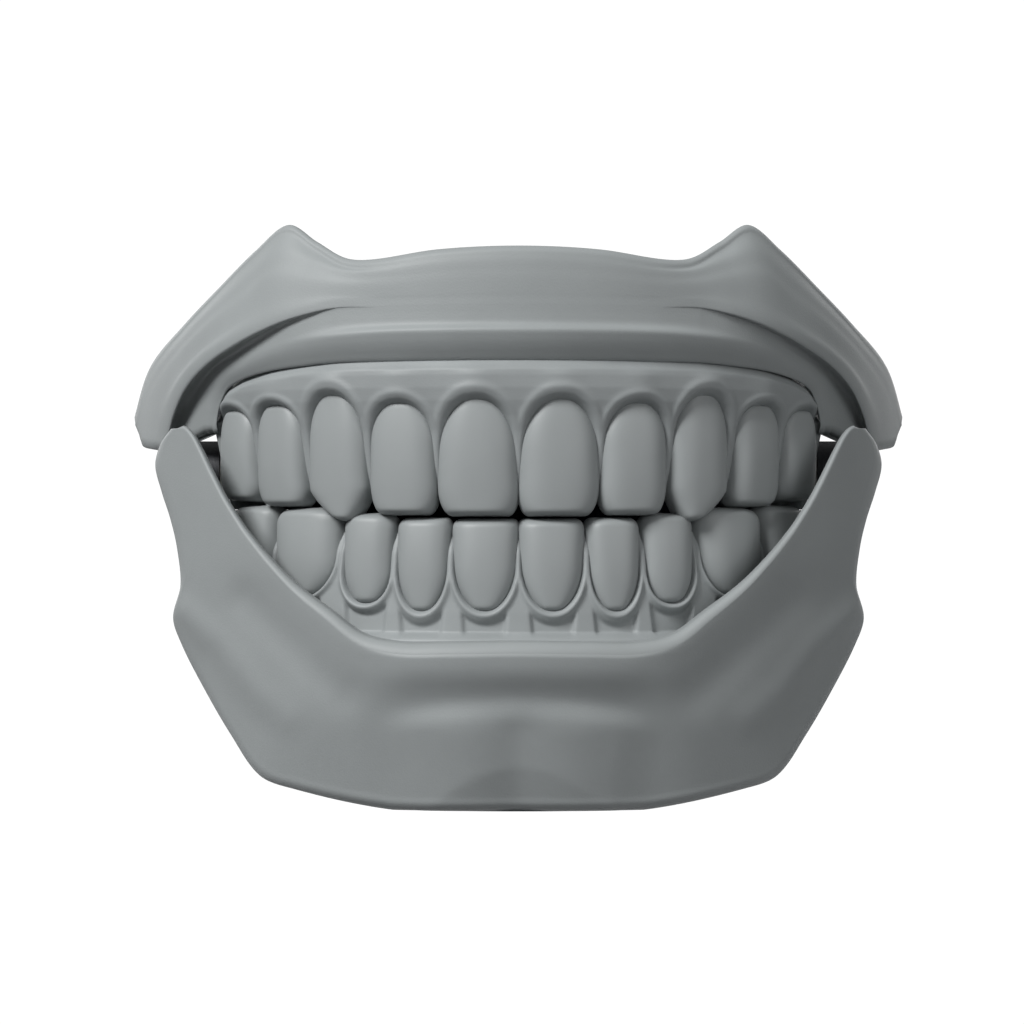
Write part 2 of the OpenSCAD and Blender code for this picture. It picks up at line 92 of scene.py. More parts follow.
# Place, width and power of each light. The key is high and to the left; the rims are behind.
LIGHTS = {
    "key": ((-0.86, -0.92, 1.0), 0.6, 30),
    "fill": ((0.9, -1.0, 0.3), 0.9, 4),
    "rim_left": ((-0.7, 1, 0.35), 0.7, 3),
    "rim_right": ((0.7, 1, 0.35), 0.7, 3),
}


def area_light(name, place, size, power):
    """A round soft light aimed at the origin."""
    data = bpy.data.lights.new(name, "AREA")
    data.shape = "DISK"
    data.size = size
    data.energy = power
    light = bpy.data.objects.new(name, data)
    light.location = place
    light.rotation_euler = (-Vector(place)).to_track_quat("-Z", "Y").to_euler()
    bpy.context.scene.collection.objects.link(light)


SEEN_STRENGTH = 1.05
LIGHT_STRENGTH = 0.34


def make_world():
    """White surroundings: full white to look at, and as a light dimmer and darker from below."""
    world = bpy.data.worlds.new("studio")
    bpy.context.scene.world = world
    world.use_nodes = True
    nodes, links = world.node_tree.nodes, world.node_tree.links
    nodes.clear()
    seen = nodes.new("ShaderNodeBackground")
    seen.inputs["Color"].default_value = (1, 1, 1, 1)
    seen.inputs["Strength"].default_value = SEEN_STRENGTH
    soft = nodes.new("ShaderNodeBackground")
    soft.inputs["Strength"].default_value = LIGHT_STRENGTH
    place = nodes.new("ShaderNodeTexCoord")
    split = nodes.new("ShaderNodeSeparateXYZ")
    fade = nodes.new("ShaderNodeValToRGB")
    fade.color_ramp.elements[0].position = 0.0
    fade.color_ramp.elements[0].color = (0.35, 0.35, 0.36, 1)
    fade.color_ramp.elements[1].position = 0.6
    fade.color_ramp.elements[1].color = (0.98, 0.99, 1, 1)
    links.new(place.outputs["Generated"], split.inputs["Vector"])
    links.new(split.outputs["Z"], fade.inputs["Fac"])
    links.new(fade.outputs["Color"], soft.inputs["Color"])
    path = nodes.new("ShaderNodeLightPath")
    mix = nodes.new("ShaderNodeMixShader")
    out = nodes.new("ShaderNodeOutputWorld")
    links.new(path.outputs["Is Camera Ray"], mix.inputs["Fac"])
    links.new(soft.outputs[0], mix.inputs[1])
    links.new(seen.outputs[0], mix.inputs[2])
    links.new(mix.outputs[0], out.inputs["Surface"])


def make_floor():
    """A plain pale sheet below the mask, which throws no diffuse light back up at it."""
    half, height = 1.15, -0.3
    mesh = bpy.data.meshes.new("floor")
    corners = [(-half, -half), (half, -half), (half, half), (-half, half)]
    mesh.from_pydata([(x, y, height) for x, y in corners], [], [(0, 1, 2, 3)])
    floor = bpy.data.objects.new("floor", mesh)
    bpy.context.scene.collection.objects.link(floor)
    mesh.materials.append(plain_material("floor_paper", (0.86, 0.86, 0.87), 0.9))
    floor.visible_diffuse = False


# ---- materials ----

def plain_material(name, colour, roughness):
    material = bpy.data.materials.new(name)
    material.use_nodes = True
    shader = material.node_tree.nodes["Principled BSDF"]
    shader.inputs["Base Color"].default_value = (*colour, 1)
    shader.inputs["Roughness"].default_value = roughness
    return material


def add_noise(tree, scale, detail, stretch=(1, 1, 1)):
    """A noise texture fixed to the piece; scale is in features per metre."""
    place = tree.nodes.new("ShaderNodeTexCoord")
    mapping = tree.nodes.new("ShaderNodeMapping")
    mapping.inputs["Scale"].default_value = stretch
    noise = tree.nodes.new("ShaderNodeTexNoise")
    noise.inputs["Scale"].default_value = scale
    noise.inputs["Detail"].default_value = detail
    tree.links.new(place.outputs["Object"], mapping.inputs["Vector"])
    tree.links.new(mapping.outputs["Vector"], noise.inputs["Vector"])
    return noise


def ramp(tree, source, low, high, start=0.3, stop=0.7):
    """A colour ramp from low to high driven by a node's first output."""
    node = tree.nodes.new("ShaderNodeValToRGB")
    node.color_ramp.elements[0].position = start
    node.color_ramp.elements[0].color = (*low, 1)
    node.color_ramp.elements[1].position = stop
    node.color_ramp.elements[1].color = (*high, 1)
    tree.links.new(source.outputs[0], node.inputs["Fac"])
    return node


def shade(colour, amount):
    return tuple(c * amount for c in colour)


def rough_range(tree, source, low, high):
    """Roughness between low and high, driven by a node's first output."""
    node = tree.nodes.new("ShaderNodeMapRange")
    node.inputs["To Min"].default_value = low
    node.inputs["To Max"].default_value = high
    tree.links.new(source.outputs[0], node.inputs["Value"])
    return node


def add_bump(tree, source, strength, distance, under=None):
    """Bump from a node's first output, on top of the bump under."""
    bump = tree.nodes.new("ShaderNodeBump")
    bump.inputs["Strength"].default_value = strength
    bump.inputs["Distance"].default_value = distance
    tree.links.new(source.outputs[0], bump.inputs["Height"])
    if under is not None:
        tree.links.new(under.outputs[0], bump.inputs["Normal"])
    return bump


def textured(name, colour, vary, blotch, grain, rough, bump, metallic=0.0, stretch=(1, 1, 1),
             specular=0.4):
    """A material with two noises: wide blotches vary its colour by the share vary, and a fine grain
    sets its roughness between the two in rough, and its bump."""
    material = plain_material(name, colour, rough[0])
    tree = material.node_tree
    shader = tree.nodes["Principled BSDF"]
    shader.inputs["Metallic"].default_value = metallic
    shader.inputs["Specular IOR Level"].default_value = specular
    wide = add_noise(tree, blotch, 3)
    fine = add_noise(tree, grain, 4, stretch)
    tone = ramp(tree, wide, shade(colour, 1 - vary), shade(colour, 1 + vary))
    tree.links.new(tone.outputs["Color"], shader.inputs["Base Color"])
    gloss = rough_range(tree, fine, *rough)
    tree.links.new(gloss.outputs[0], shader.inputs["Roughness"])
    relief = add_bump(tree, fine, bump, 0.0004)
    tree.links.new(relief.outputs[0], shader.inputs["Normal"])
    return material


SHELL_GREY = (0.262, 0.280, 0.282)
GUM_GREY = (0.258, 0.276, 0.279)
TOOTH_GREY = (0.272, 0.290, 0.292)


def make_materials():
    made = {
        "shell": textured("latex_shell", SHELL_GREY, 0.035, 60, 2600, (0.5, 0.62), 0.10),
        "gum": textured("latex_gum", GUM_GREY, 0.04, 90, 2600, (0.48, 0.6), 0.10),
        "tooth": textured("latex_tooth", TOOTH_GREY, 0.025, 70, 3200, (0.42, 0.52), 0.06),
        "nylon": textured("frame_nylon", (0.035, 0.037, 0.042), 0.2, 120, 2400, (0.42, 0.6), 0.3),
        "steel": textured("brushed_steel", (0.46, 0.46, 0.48), 0.08, 150, 900, (0.24, 0.42), 0.12,
                          metallic=1.0, stretch=(1, 1, 14)),
        "washer": textured("washer_nylon", (0.62, 0.62, 0.58), 0.05, 200, 2500, (0.35, 0.5), 0.15),
        "plastic": textured("adjuster_plastic", (0.02, 0.02, 0.023), 0.2, 150, 3000, (0.35, 0.5), 0.3),
        "foam": textured("foam_cover", (0.03, 0.031, 0.035), 0.25, 200, 3800, (0.85, 0.95), 0.8),
        "rubber": textured("elastic_rubber", (0.018, 0.018, 0.02), 0.2, 300, 4000, (0.55, 0.7), 0.4),
    }
    made["liner"] = knit_material("liner_cloth", (0.004, 0.007, 0.02))
    made["webbing"] = webbing_material("strap_webbing", (0.016, 0.016, 0.019))
    made["thread"] = textured("stitch_thread", (0.06, 0.06, 0.07), 0.2, 400, 5000, (0.6, 0.8), 0.3)
    return made


def wave(tree, uv, direction, scale):
    """Sine bands across a piece's own map."""
    node = tree.nodes.new("ShaderNodeTexWave")
    node.bands_direction = direction
    node.wave_profile = "SIN"
    node.inputs["Scale"].default_value = scale
    tree.links.new(uv.outputs["UV"], node.inputs["Vector"])
    return node


def knit_material(name, colour):
    """Stretch cloth: fine vertical wales crossed by courses, laid on the piece's own map in metres."""
    material = plain_material(name, colour, 0.85)
    tree = material.node_tree
    shader = tree.nodes["Principled BSDF"]
    shader.inputs["Sheen Weight"].default_value = 0.25
    shader.inputs["Sheen Roughness"].default_value = 0.4
    uv = tree.nodes.new("ShaderNodeTexCoord")
    wales = wave(tree, uv, "X", 320)
    courses = wave(tree, uv, "Y", 260)
    both = tree.nodes.new("ShaderNodeMath")
    both.operation = "MULTIPLY"
    tree.links.new(wales.outputs["Fac"], both.inputs[0])
    tree.links.new(courses.outputs["Fac"], both.inputs[1])
    tone = ramp(tree, both, shade(colour, 0.6), shade(colour, 1.5), 0.0, 0.9)
    tree.links.new(tone.outputs["Color"], shader.inputs["Base Color"])
    relief = add_bump(tree, both, 0.5, 0.0003)
    tree.links.new(relief.outputs[0], shader.inputs["Normal"])
    return material


def webbing_material(name, colour):
    """Woven polyester webbing: picks across the strap, over the ribs that its mesh has."""
    material = plain_material(name, colour, 0.7)
    tree = material.node_tree
    shader = tree.nodes["Principled BSDF"]
    shader.inputs["Sheen Weight"].default_value = 0.15
    uv = tree.nodes.new("ShaderNodeTexCoord")
    picks = wave(tree, uv, "X", 300)
    fibre = add_noise(tree, 2500, 3)
    tone = ramp(tree, picks, shade(colour, 0.55), shade(colour, 1.6), 0.1, 0.9)
    tree.links.new(tone.outputs["Color"], shader.inputs["Base Color"])
    relief = add_bump(tree, fibre, 0.3, 0.0003, add_bump(tree, picks, 0.6, 0.0004))
    tree.links.new(relief.outputs[0], shader.inputs["Normal"])
    gloss = rough_range(tree, fibre, 0.6, 0.8)
    tree.links.new(gloss.outputs[0], shader.inputs["Roughness"])
    return material


# ---- curves and meshes ----

def smooth_through(points, per_span, before=None, closed=False):
    """Smooth curve through the points along the first axis, per_span steps from each to the next.
    Tangents allow for uneven spacing. before is the point ahead of the first one."""
    p = np.asarray(points, float)
    if closed:
        p = np.concatenate([p[-1:], p, p[:2]])
    else:
        ahead = 2 * p[0] - p[1] if before is None else before
        p = np.concatenate([ahead[None], p, (2 * p[-1] - p[-2])[None]])
    gap = np.linalg.norm(np.diff(p, axis=0), axis=-1, keepdims=True) + 1e-6
    tangent = (p[2:] - p[:-2]) / (gap[1:] + gap[:-1])
    start, end, span = p[1:-2], p[2:-1], gap[1:-1]
    leaving, arriving = tangent[:-1] * span, tangent[1:] * span
    steps = []
    for t in np.arange(per_span) / per_span:
        steps.append((2 * t**3 - 3 * t**2 + 1) * start + (t**3 - 2 * t**2 + t) * leaving
                     + (3 * t**2 - 2 * t**3) * end + (t**3 - t**2) * arriving)
    curve = np.stack(steps, axis=1).reshape(-1, *p.shape[1:])
    return curve if closed else np.concatenate([curve, end[-1:]])


def smoothstep(low, high, value):
    """0 up to low, 1 from high on, and smooth between; low may be the larger one."""
    t = np.clip((value - low) / (high - low), 0, 1)
    return t * t * (3 - 2 * t)


def hump(value, width):
    """1 at 0, fading to nothing at about twice the width on either side."""
    return np.exp(-(value / width) ** 2)


def ring_faces(rings, around, closed=False):
    """Quads between neighbouring closed rings, and a strip of quads over each end unless it closes up."""
    start = np.arange(rings if closed else rings - 1)[:, None] * around
    after = (start + around) % (rings * around)
    i = np.arange(around)[None, :]
    k = (i + 1) % around
    quads = np.stack([start + i, start + k, after + k, after + i], axis=-1)
    faces = quads.reshape(-1, 4).tolist()
    if closed:
        return faces
    last = (rings - 1) * around
    for j in range(around // 2 - 1):
        strip = [j, j + 1, around - 2 - j, around - 1 - j]
        faces.append(strip[::-1])
        faces.append([last + n for n in strip])
    return faces


def add_mesh(name, points, faces, material, body, replaces=(), uv=None):
    """A smooth-shaded piece from points in millimetres, that rides on a body (or on none, when body is
    empty).
    """
    mesh = bpy.data.meshes.new(name)
    points = np.asarray(points, float).reshape(-1, 3) * MM
    mesh.from_pydata(points.tolist(), [], faces)
    mesh.validate()
    mesh.polygons.foreach_set("use_smooth", [True] * len(mesh.polygons))
    if uv is not None:
        corner = np.zeros(len(mesh.loops), int)
        mesh.loops.foreach_get("vertex_index", corner)
        layer = mesh.uv_layers.new(name="UVMap")
        layer.data.foreach_set("uv", (np.asarray(uv) * MM)[corner].ravel())
    mesh.materials.append(material)
    piece = bpy.data.objects.new(name, mesh)
    bpy.context.scene.collection.objects.link(piece)
    if body:
        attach(piece, body)
    if replaces:
        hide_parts(*replaces)
    return piece


def ring_piece(name, rings, material, body, replaces=(), closed=False, uv=None):
    rings = np.asarray(rings)
    faces = ring_faces(len(rings), len(rings[0]), closed)
    return add_mesh(name, rings, faces, material, body, replaces, uv)


MIRROR = np.array([-1, 1, 1])


def mirrored_halves(rings):
    """Rings from the far right end, through the middle, to the far left end."""
    other = rings[:0:-1] * MIRROR
    return np.concatenate([other, rings])


# ---- shell surfaces ----

def plan_y(x, a, b):
    """Place from front to back on a shell's plan ellipse."""
    return -SHELL_FRONT + b * (1 - np.sqrt(1 - np.minimum(np.abs(x) / a, 0.985) ** 2))


def to_space(rows, a, b):
    """Rows of [x, z, set back from the plan ellipse] as points in space."""
    x, z, back = rows[..., 0], rows[..., 1], rows[..., 2]
    return np.stack([x, plan_y(x, a, b) + back, z], axis=-1)


def unit(v):
    return v / (np.linalg.norm(v, axis=-1, keepdims=True) + 1e-9)


def flat_move(row, direction, distance, back):
    """A row moved in its own face by distance along direction, and back by back."""
    distance = np.broadcast_to(distance, row[:, 0].shape)
    moved = row.copy()
    moved[:, :2] += direction * distance[:, None]
    moved[:, 2] += back
    return moved


def square_to(row):
    """Direction in the face square to a row, at each of its places."""
    along = unit(np.gradient(row[:, :2], axis=0))
    return np.stack([along[:, 1], -along[:, 0]], axis=-1)


def rim_rows(row, inward, reach, depth, turns, facing=-1):
    """Rows round a rim, one for each turn in degrees; facing is -1 in front of it and 1 behind."""
    rows = []
    for degrees in turns:
        angle = math.radians(degrees)
        rows.append(flat_move(row, inward, reach * (1 - math.cos(angle)),
                              depth * (1 + facing * math.sin(angle))))
    return rows


END_STEPS = 5
NEAR_ENOUGH = 1.5


def round_end(rings, reach, direction):
    """Extra rings that close an end with a rounded rim, reach millimetres long. They shrink towards
    the middle of the wall, which lies between the points near to one another from in front."""
    last = rings[-1]
    near = np.linalg.norm(last[:, None, ::2] - last[None, :, ::2], axis=-1) < NEAR_ENOUGH
    depths = np.where(near, last[None, :, 1], np.nan)
    middle = last.copy()
    middle[:, 1] = (np.nanmin(depths, axis=1) + np.nanmax(depths, axis=1)) / 2
    extra = []
    for k in range(1, END_STEPS + 1):
        angle = 0.5 * math.pi * k / END_STEPS
        thin = middle + (last - middle) * max(math.cos(angle), 0.02)
        extra.append(thin + np.array(direction) * reach * math.sin(angle))
    return np.concatenate([rings, extra])


# Upper shell, middle to end, as [x, z, set back]: its outline, the brow below that, the crease under
# the wing, the crest of the lip's roll, and the lip's lower edge
UPPER_TOP = [
    [0, 52.4, 5], [16, 51.8, 5], [28.6, 50.2, 5.2], [34.4, 50.7, 6.2], [40.5, 54.4, 8],
    [46.6, 58.2, 8.2], [53.4, 53.5, 6.7], [62, 46.1, 5.5], [69.8, 39.4, 4], [79, 31.1, 3],
    [84.1, 20.9, 2]
]
UPPER_BROW = [
    [0, 46, 4.5], [15.5, 45.6, 4.5], [28, 45, 4.5], [35.4, 45.4, 4.4], [42.4, 46.6, 3.9],
    [49.5, 47.2, 3.1], [56.5, 42.5, 2.3], [64.5, 37.6, 1.7], [71.5, 32, 1.6], [78.8, 24, 2.2],
    [81.4, 15.9, 2.6]
]
UPPER_CREASE = [
    [0, 41, 4.4], [15, 40.9, 4.4], [28, 40.9, 4.4], [36.2, 41, 3.9], [43, 39.8, 2.4],
    [50, 37.8, 0.9], [57.8, 34.6, -0.1], [64.8, 30.8, -0.2], [69.9, 26.3, 0], [73.4, 20.5, 1],
    [75.4, 14.5, 2.2]
]
UPPER_CREST = [
    [0, 35.8, 3], [14.5, 35.8, 3], [27, 35.7, 3], [36, 35.2, 3.1], [43.6, 34.3, 3.3],
    [49.9, 32.8, 3.6], [56, 30.6, 4.3], [61.2, 27.8, 5.4], [63.6, 24.2, 6.8], [64.6, 20.6, 7.6],
    [65.3, 18, 8]
]
UPPER_LIP = [
    [0, 29.8, 6.2], [14.5, 29.8, 6.2], [27, 29.8, 6.1], [36, 29.8, 6], [43.5, 29.3, 6],
    [50, 28.6, 6.1], [56, 27.2, 6.5], [59.6, 25.4, 7.3], [61.3, 22.8, 8.1], [62.2, 20.2, 8.7],
    [62.6, 18.1, 9]
]
# How much of the wing's step there is at each column, and its full depth
STEP_SHARE = [0, 0, 0, 0.03, 0.18, 0.34, 0.5, 0.64, 0.74, 0.78, 0.78]
STEP_DEPTH = 7.0
# How far the top rim's round reaches down the face, and the rounded end beyond the last column
RIM_REACH = 1.9
LOBE_END = 1.8
UPPER_PER_COLUMN = 14
UPPER_PER_ROW = 4


def groove_floor(crease, crest, share, level):
    """Row between the crease and the crest: in the band's plane where there is no step, and
    falling back under the wing."""
    floor = crease * 0.55 + crest * 0.45
    drop = (crease[:, 2] + STEP_DEPTH * share - crest[:, 2]).clip(0)
    floor[:, 2] = crest[:, 2] + drop * (0.62 + 0.36 * level)
    return floor


def upper_face(rows, floor, share, level):
    """Rows of the upper shell's front, from the top rim down to the lip's edge."""
    top, brow, crease, crest, lip = (rows[:, k] for k in range(5))
    down = square_to(crease)
    inward = unit(brow[:, :2] - top[:, :2])
    depth = STEP_DEPTH * share
    edge = 0.4 + 1.3 * share
    ring = rim_rows(top, inward, RIM_REACH, SHELL_T / 2, (0, 30, 60, 90))
    ring += [top * 0.52 + brow * 0.48, top * 0.25 + brow * 0.75, brow, brow * 0.45 + crease * 0.55]
    ring.append(flat_move(crease, -down, 1.2, 0.05))
    for degrees in (20, 55, 90):
        angle = math.radians(degrees)
        turned_back = edge * (1 - math.cos(angle)) * np.minimum(1, 4 * share)
        ring.append(flat_move(crease, down, edge * math.sin(angle), turned_back))
    ring.append(flat_move(crease, down, edge * (1.1 - 0.3 * share), depth * 0.5))
    ring.append(flat_move(crease, down, edge * (1.3 - 0.2 * share), depth * 0.95))
    ring.append(floor)
    bead = crest + (floor - crest) * 0.4
    bead[:, 2] += (floor - crest)[:, 2] * 0.45 * level
    ring.append(bead)
    for way in (0, 0.25, 0.5, 0.75, 1):
        ring.append(crest + (lip - crest) * np.array([way, way, way ** 1.6]))
    return ring


def upper_back(rows, floor, share):
    """Rows of the upper shell's back, from under the lip up to the top rim."""
    top, brow, crease, crest, lip = (rows[:, k] for k in range(5))
    down = square_to(crease)
    inward = unit(brow[:, :2] - top[:, :2])
    up = unit(crest[:, :2] - lip[:, :2])
    depth = STEP_DEPTH * share
    wall = 0.3 + 3.0 * share
    ring = [flat_move(lip, up, distance, back) for distance, back in ((0, 0.8), (0.6, 1.6), (2.2, 2.2))]
    ring.append(flat_move(crest, up, 0.0, SHELL_T + 2.2))
    ring.append(flat_move(floor, up, 0.0, SHELL_T))
    ring.append(flat_move(crease, -down, wall * 0.6, depth * 0.9 + SHELL_T))
    ring.append(flat_move(crease, -down, wall, depth * 0.4 + SHELL_T))
    ring.append(flat_move(crease, -down, wall * 1.35, SHELL_T))
    ring.append(flat_move(brow, inward, 0, SHELL_T))
    return ring + rim_rows(top, inward, SHELL_T / 2, SHELL_T / 2, (90, 60, 30), 1)


def build_upper_shell(material):
    """The upper shell's skin: closed rings round its wall at each place along it."""
    rows = np.stack([UPPER_TOP, UPPER_BROW, UPPER_CREASE, UPPER_CREST, UPPER_LIP], axis=1).astype(float)
    rows = smooth_through(rows, UPPER_PER_COLUMN, rows[1] * MIRROR)
    share = smooth_through(np.array(STEP_SHARE)[:, None], UPPER_PER_COLUMN)[:, 0].clip(0, 1)
    level = (1 - 3 * share).clip(0)
    floor = groove_floor(rows[:, 2], rows[:, 3], share, level)
    ring = upper_face(rows, floor, share, level) + upper_back(rows, floor, share)
    rings = smooth_through(np.stack(ring), UPPER_PER_ROW, closed=True)
    rings = to_space(np.swapaxes(rings, 0, 1), UPPER_A, UPPER_B)
    rings = round_end(rings, LOBE_END, (-0.15, 0, -1))
    return ring_piece("upper_shell_skin", mirrored_halves(rings), material, "upper",
                      ["upper_shell"])


# Jaw shell, middle to tip, as [x, z, set back]: the lip's roll, and the outer edge
JAW_LIP = [
    [0, -27.8, 0], [14, -28, 0], [24, -28, 0], [31.5, -26.2, 0], [38.5, -21, 0], [45, -15.8, 0],
    [50.5, -10.2, 0], [55.2, -4.6, 0], [57.8, -0.9, 0], [60, 2.4, 0], [62, 5.9, 0], [63.7, 9, 0],
    [65.3, 12, 0], [67, 15, 0], [68.3, 16.6, 0], [69.2, 17.2, 0]
]
JAW_EDGE = [
    [0, -59.3, 8.5], [14, -59.3, 8.5], [26, -59.2, 8.4], [45.3, -55.9, 7.8], [52.6, -53.5, 7.2],
    [58.8, -45.5, 6], [65, -35.9, 4.6], [69.8, -27.4, 2.6], [71.7, -22, 1.4], [69.8, -15.2, 0.6],
    [70.6, -7.4, 0.2], [72.2, -1.4, 0], [74.4, 4.3, 0], [76, 9.8, 0], [74.6, 14, 0],
    [71.8, 17.2, 0]
]
# At each column: the width of the lip's inner slope, how far it falls back, how deep the wall
# behind it is, the radius of the outer rim, and how far back the side wall reaches
JAW_SLOPE = [2.5, 2.5, 2.5, 2.4, 2.1, 1.7, 1.4, 1.2, 1.1, 1.1, 1.1, 1.1, 1.1, 1, 0.8, 0.6]
JAW_FALL = [2.8, 2.8, 2.8, 2.8, 2.7, 2.6, 2.2, 2, 2, 2, 2, 2, 2, 1.8, 1.4, 1]
JAW_SHELF = [9, 9, 9, 8.5, 7.5, 6.5, 5.5, 5, 4.8, 4.8, 4.8, 4.8, 4.6, 4.2, 3.6, 3]
JAW_RIM = [3, 3, 3, 3, 3, 3, 3, 3, 3, 3, 2.8, 2.6, 2.4, 2.2, 1.6, 1]
JAW_RETURN = [26, 26, 26, 26, 25, 25, 25, 24, 23, 25, 23, 18, 13, 8, 5, 3]
# Height below the origin that the side wall's thickness is turned towards
JAW_MIDDLE = 15
JAW_PER_COLUMN = 11
JAW_PER_ROW = 5


# The chin's relief. Its boss has a top that bends down to the sides, a tuck under it that does the
# same, two lobes and a cleft between them. Above it is a fold, and above that the lip's swell.
BOSS_TOP, BOSS_BEND, BOSS_OUT = -36.8, 2.4, 1.0
LOBE_OUT, CLEFT_IN = 0.7, 0.5
TUCK_TOP, TUCK_BEND, TUCK_LEAN = -50.3, 6.0, 0.14
FOLD_IN, SWELL_OUT = 0.9, 0.5
BOSS_HALF, TUCK_HALF = 24, 14.7


def chin_relief(x, z):
    """How far the chin's face is pushed back at each place."""
    x = np.abs(x)
    middle = 1 - smoothstep(20, 36, x)
    boss_top = BOSS_TOP - BOSS_BEND * (x / BOSS_HALF) ** 2
    fold = (FOLD_IN * smoothstep(-30, boss_top, z) - SWELL_OUT * hump(z + 31.5, 3.6)) * middle
    rise = smoothstep(boss_top + 0.6, boss_top - 4.2, z)
    width = 1 - smoothstep(18, 28, x - 0.12 * (z + 50))
    boss = -BOSS_OUT * rise * width
    lobes = (-LOBE_OUT * hump(x - 11, 7) + CLEFT_IN * hump(x, 4)) * smoothstep(-37, -44, z)
    tuck_line = TUCK_TOP - TUCK_BEND * (x / TUCK_HALF) ** 2
    tuck = TUCK_LEAN * np.maximum(tuck_line - z, 0) * width
    return fold + boss + lobes + tuck


def line_distance(x, z, line):
    """Distance from each place to an open chain of points, and how far along the chain it is, 0 to 1."""
    best = np.full(x.shape, 1e9)
    place = np.zeros(x.shape)
    count = len(line) - 1
    for k in range(count):
        (ax, az), (bx, bz) = line[k], line[k + 1]
        dx, dz = bx - ax, bz - az
        t = np.clip(((x - ax) * dx + (z - az) * dz) / (dx * dx + dz * dz), 0, 1)
        away = np.hypot(x - ax - t * dx, z - az - t * dz)
        nearer = away < best
        best = np.where(nearer, away, best)
        place = np.where(nearer, (k + t) / count, place)
    return best, place


# A ridge runs from the jaw's corner towards the chin, and a shallow valley above it
CHEEK_RIDGE = [(68.8, -21.1), (61.3, -26.5), (53.3, -35.9), (47, -40.9)]
CHEEK_VALLEY = [(54.8, -17.9), (43.7, -28), (35.1, -35.8)]
RIDGE_OUT, VALLEY_IN = 1.5, 1.2


def cheek_relief(x, z):
    """How far the cheeks' faces are pushed back at each place; both lines fade towards the chin."""
    x = np.abs(x)
    ridge, along_ridge = line_distance(x, z, CHEEK_RIDGE)
    valley, along_valley = line_distance(x, z, CHEEK_VALLEY)
    raised = -RIDGE_OUT * hump(ridge, 3.6) * (1 - 0.6 * along_ridge)
    return raised + VALLEY_IN * hump(valley, 4.2) * np.sqrt(1 - 0.5 * along_valley)


def jaw_face(lip, edge, inward, widths):
    """Rows of the jaw shell's front: the lip's inner slope, then the face down to the outer edge.
    Also says where the face starts and stops among them."""
    slope, fall, shelf, rim, _ = widths
    mouth = -square_to(lip)
    ring = [flat_move(lip, mouth, slope - 1.2, shelf)]
    ring.append(flat_move(lip, mouth, slope, shelf - 1.0))
    ring.append(flat_move(lip, mouth, slope + 0.1, (fall + shelf) / 2))
    for degrees in (90, 66, 42, 20):
        angle = math.radians(degrees)
        ring.append(flat_move(lip, mouth, slope * math.sin(angle), fall * (1 - math.cos(angle))))
    face_from = len(ring)
    rim_start = flat_move(edge, inward, rim, 0)
    for share in (0, 0.1, 0.25, 0.42, 0.6, 0.78, 0.92):
        ring.append(lip + (rim_start - lip) * share)
    ring += rim_rows(edge, inward, rim, rim, (90, 60, 30, 0))
    return ring, face_from, len(ring) - 1


def jaw_back(lip, edge, widths):
    """Rows of the jaw shell's side wall and of its inside, back to the lip."""
    _, _, shelf, rim, reach = widths
    centre = unit(np.stack([-edge[:, 0], -JAW_MIDDLE - edge[:, 1]], axis=-1))
    back = np.maximum(reach, rim + 0.5)
    wall = back - rim
    ring = [flat_move(edge, centre, 0, rim + wall * share) for share in (0.33, 0.66, 0.94)]
    ring.append(flat_move(edge, centre, SHELL_T * 0.3, back + 0.2))
    ring.append(flat_move(edge, centre, SHELL_T * 0.75, back + 0.1))
    ring.append(flat_move(edge, centre, SHELL_T, rim + wall * 0.85))
    ring.append(flat_move(edge, centre, SHELL_T, rim + wall * 0.45))
    ring.append(flat_move(edge, centre, SHELL_T + 0.6, np.minimum(SHELL_T + 1.5, rim + wall * 0.4)))
    for share in (0.7, 0.5, 0.3, 0.12):
        inner = lip + (edge - lip) * share
        inner[:, 2] += SHELL_T
        ring.append(inner)
    ring.append(flat_move(lip, -square_to(lip), -0.5, np.minimum(shelf, SHELL_T + 1)))
    return ring


def build_jaw_shell(material):
    """The same for the lower shell, with the chin's and the cheeks' relief on its face."""
    rows = smooth_through(np.stack([JAW_LIP, JAW_EDGE], axis=1).astype(float), JAW_PER_COLUMN,
                          np.stack([JAW_LIP[1], JAW_EDGE[1]]) * MIRROR)
    widths = np.array([JAW_SLOPE, JAW_FALL, JAW_SHELF, JAW_RIM, JAW_RETURN], float).T
    widths = smooth_through(widths, JAW_PER_COLUMN, widths[1]).T
    lip, edge = rows[:, 0], rows[:, 1]
    edge[:, 1] = np.maximum(edge[:, 1], -CHIN_DROP)
    inward = unit(lip[:, :2] - edge[:, :2])
    ring, face_from, face_to = jaw_face(lip, edge, inward, widths)
    rings = smooth_through(np.stack(ring + jaw_back(lip, edge, widths)), JAW_PER_ROW, closed=True)
    rings = np.swapaxes(rings, 0, 1)
    face = np.zeros(rings.shape[1])
    face[face_from * JAW_PER_ROW:face_to * JAW_PER_ROW] = 1
    x, z = rings[..., 0], rings[..., 1]
    near_rim = 1 - 0.8 * hump(np.linalg.norm(rings[..., :2] - edge[:, None, :2], axis=-1), 3)
    rings[..., 2] += face * (chin_relief(x, z) + cheek_relief(x, z) * near_rim)
    rings = to_space(rings, JAW_A, JAW_B)
    return ring_piece("lower_shell_skin", mirrored_halves(rings), material, "jaw",
                      ["lower_shell"])


# ---- the tooth row ----

def arch_point(phi, depth=0.0, back=0.0):
    """Place on the tooth row at angle phi in degrees, depth behind the faces; returns x and y."""
    angle = np.radians(phi)
    return ((ARCH_A - depth) * np.sin(angle),
            -ARCH_FRONT + back + depth + (ARCH_B - depth) * (1 - np.cos(angle)))


def arch_turn(phi):
    """Direction that the tooth row runs in at an angle along it, in radians."""
    angle = math.radians(phi)
    return math.atan2(ARCH_B * math.sin(angle), ARCH_A * math.cos(angle))


